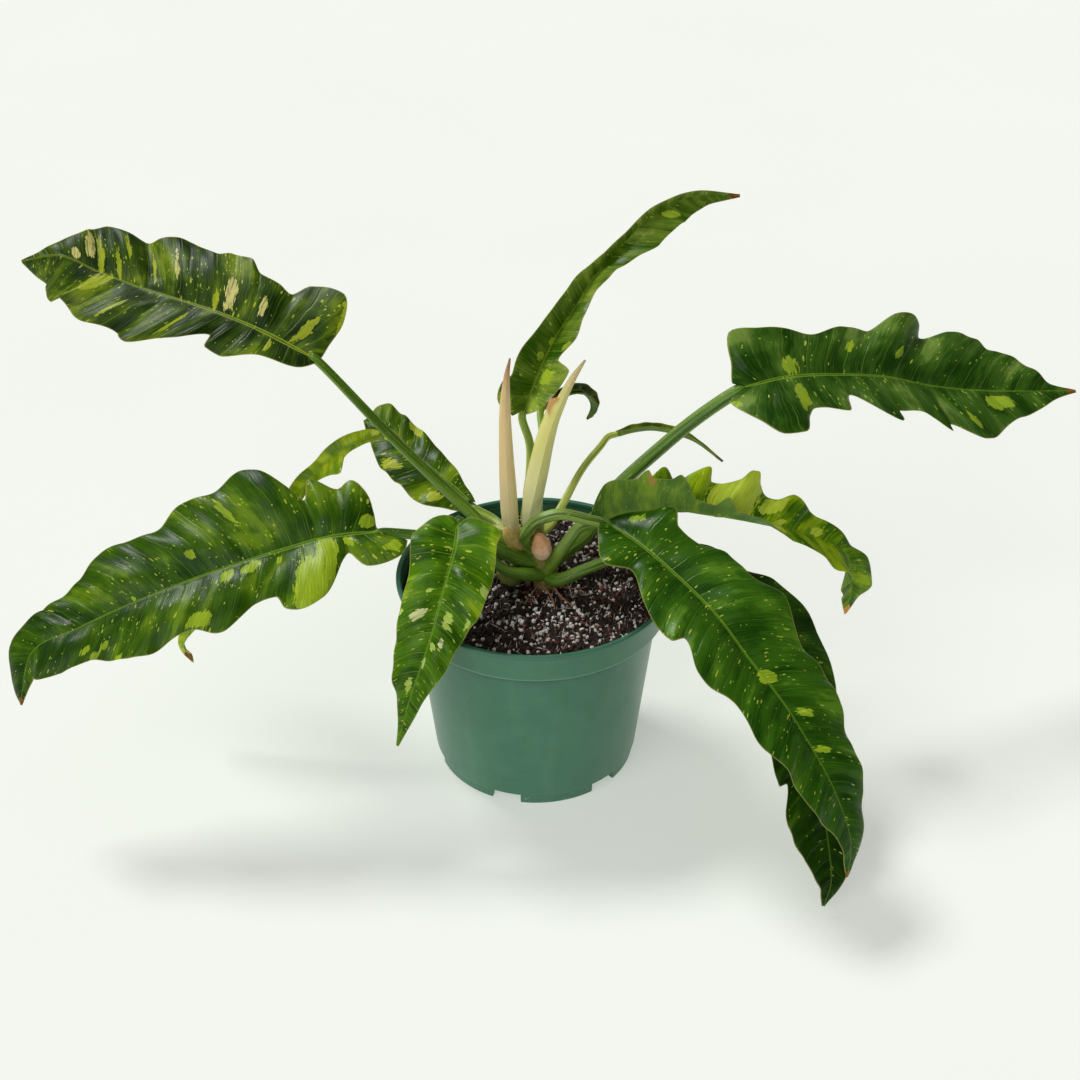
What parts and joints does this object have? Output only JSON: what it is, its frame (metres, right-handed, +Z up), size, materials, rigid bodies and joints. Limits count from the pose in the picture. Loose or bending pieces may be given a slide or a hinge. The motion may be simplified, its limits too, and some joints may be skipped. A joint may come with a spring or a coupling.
{
  "type": "potted ring of fire philodendron",
  "caption": "Potted house plant with long lobed, wavy, variegated leaves on arching stalks around a short stem, standing in a round green grower pot filled with soil.",
  "frame": {"origin": "on the pot's axis, in the plane that its feet stand on", "axes": "+Z up along the pot's axis, +X to the right and -Y to the front of the plant as pictured"},
  "size_m": [0.6445, 0.3277, 0.3028],
  "materials": {
    "pot": "satin moulded plastic",
    "soil": "loose potting mix",
    "stem": "matt skin with ring scars",
    "bud": "satin",
    "sheath_tan": "papery",
    "sheath_cream": "papery",
    "petiole": "satin, grooved",
    "petiole_light": "satin, grooved",
    "blade_dark": "glossy leaf",
    "blade_flecked": "glossy leaf",
    "blade_lime": "glossy leaf"
  },
  "bodies": {
    "root": {"pot": "pot", "soil": "soil", "stem": "stem", "bud": "bud", "sheath_tan": "sheath_tan", "sheath_cream": "sheath_cream", "petiole_upper_left": "petiole", "petiole_left": "petiole", "petiole_front": "petiole", "petiole_top": "petiole_light", "petiole_curled_top": "petiole_light", "petiole_right_upper": "petiole", "petiole_right_middle": "petiole", "petiole_front_right": "petiole", "petiole_lower_right": "petiole", "petiole_short_back_left": "petiole_light", "petiole_narrow_left": "petiole_light", "petiole_young_rolled": "petiole_light", "blade_upper_left": "blade_dark", "blade_left": "blade_dark", "blade_front": "blade_flecked", "blade_top": "blade_dark", "blade_curled_top": "blade_lime", "blade_right_upper": "blade_dark", "blade_right_middle": "blade_lime", "blade_front_right": "blade_dark", "blade_lower_right": "blade_dark", "blade_short_back_left": "blade_flecked", "blade_narrow_left": "blade_lime", "blade_young_rolled": "blade_lime"}
  },
  "joints": []
}
